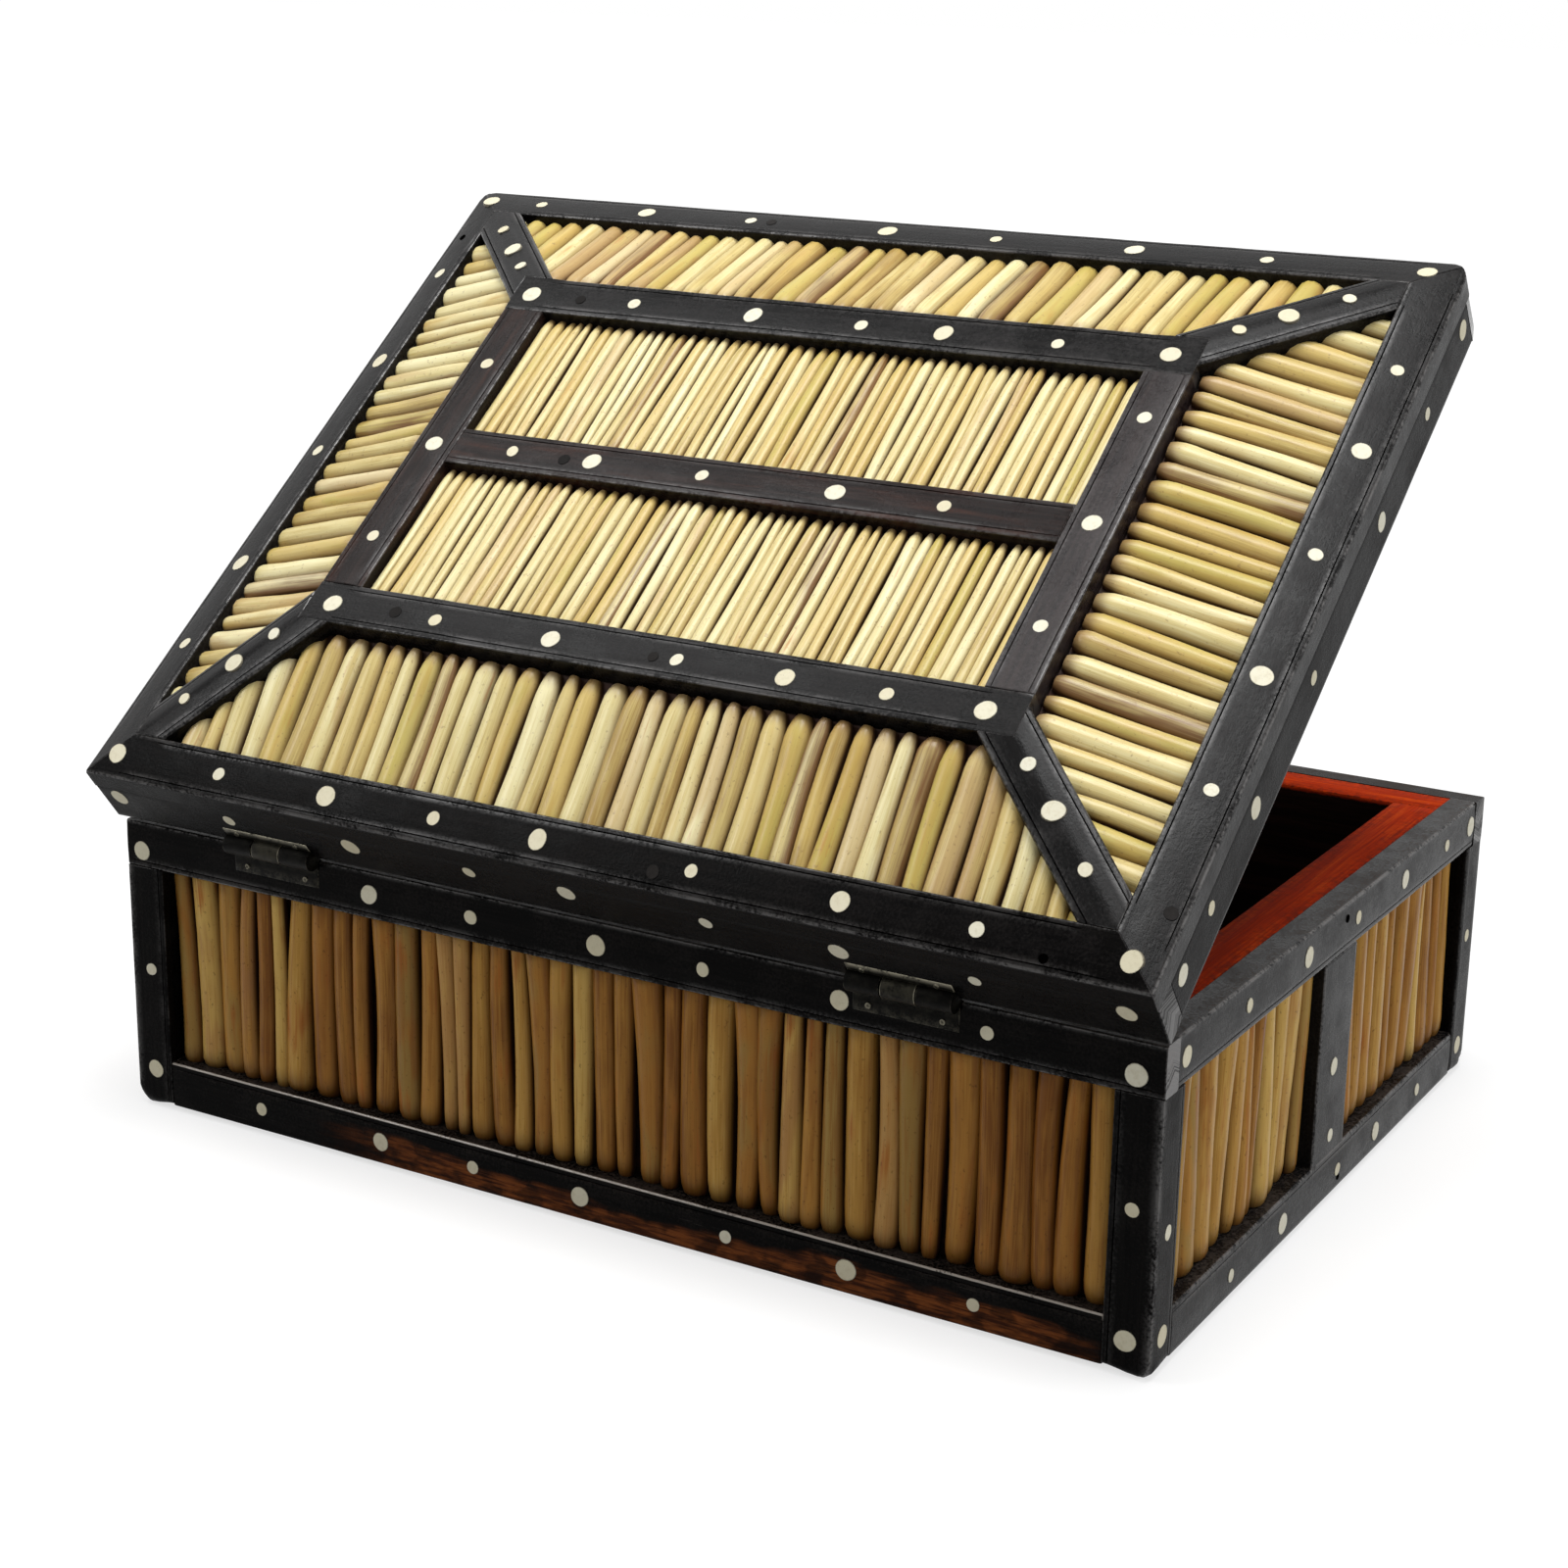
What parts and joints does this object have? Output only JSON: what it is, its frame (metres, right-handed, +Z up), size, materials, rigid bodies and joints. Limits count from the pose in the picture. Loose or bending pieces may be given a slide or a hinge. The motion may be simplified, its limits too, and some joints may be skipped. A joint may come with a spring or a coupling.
{
  "type": "keepsake box",
  "caption": "Rectangular keepsake box clad in half-round quills and dark dotted rails, with a hipped lid on rear hinges, shown part open.",
  "frame": {"origin": "middle of the base, in the plane of the feet", "axes": "+X along the long side, +Y towards the hinge side, +Z up"},
  "size_m": [0.252, 0.1968, 0.1949],
  "materials": {
    "ebony": "satin",
    "brown_ebony": "satin",
    "quill_side": "satin",
    "quill_lid": "satin",
    "bone": "satin",
    "red_wood": "matte",
    "black_wood": "matte",
    "inner_wood": "matte",
    "brass": "aged"
  },
  "bodies": {
    "box": {"base_board": "black_wood", "box_bone_dots": "bone", "front_bottom_rail": "ebony", "front_left_post": "ebony", "front_quills": "quill_side", "front_right_post": "ebony", "front_upper_rail": "ebony", "front_wall": "red_wood", "hinge_box_leaves": "brass", "hinge_box_nails": "brass", "hinge_pins": "brass", "left_bottom_rail": "ebony", "left_end_quills": "quill_side", "left_end_wall": "red_wood", "left_stile": "ebony", "left_upper_rail": "ebony", "rear_bottom_rail": "ebony", "rear_left_post": "ebony", "rear_quills": "quill_side", "rear_right_post": "ebony", "rear_upper_rail": "ebony", "rear_wall": "red_wood", "right_bottom_rail": "ebony", "right_end_quills": "quill_side", "right_end_wall": "red_wood", "right_stile": "ebony", "right_upper_rail": "ebony"},
    "lid": {"hinge_lid_leaves": "brass", "hinge_lid_nails": "brass", "lid_bone_dots": "bone", "lid_centre_quills": "quill_lid", "lid_frame": "inner_wood", "lid_front_band": "ebony", "lid_front_left_hip": "ebony", "lid_front_quills": "quill_lid", "lid_front_rail": "brown_ebony", "lid_front_right_hip": "ebony", "lid_front_slope_board": "inner_wood", "lid_front_strip": "ebony", "lid_left_band": "ebony", "lid_left_quills": "quill_lid", "lid_left_rail": "brown_ebony", "lid_left_slope_board": "inner_wood", "lid_left_strip": "ebony", "lid_lining": "black_wood", "lid_mid_rail": "brown_ebony", "lid_rear_band": "ebony", "lid_rear_left_hip": "ebony", "lid_rear_quills": "quill_lid", "lid_rear_rail": "brown_ebony", "lid_rear_right_hip": "ebony", "lid_rear_slope_board": "inner_wood", "lid_rear_strip": "ebony", "lid_right_band": "ebony", "lid_right_quills": "quill_lid", "lid_right_rail": "brown_ebony", "lid_right_slope_board": "inner_wood", "lid_right_strip": "ebony", "lid_top_board": "inner_wood"}
  },
  "joints": [
    {"name": "lid_hinge", "type": "hinge", "parent": "box", "child": "lid", "pos_m": [0, 0.0946, 0.0681], "axis": [-1, 0, 0], "range_deg": [-37.2, 62.8]}
  ]
}
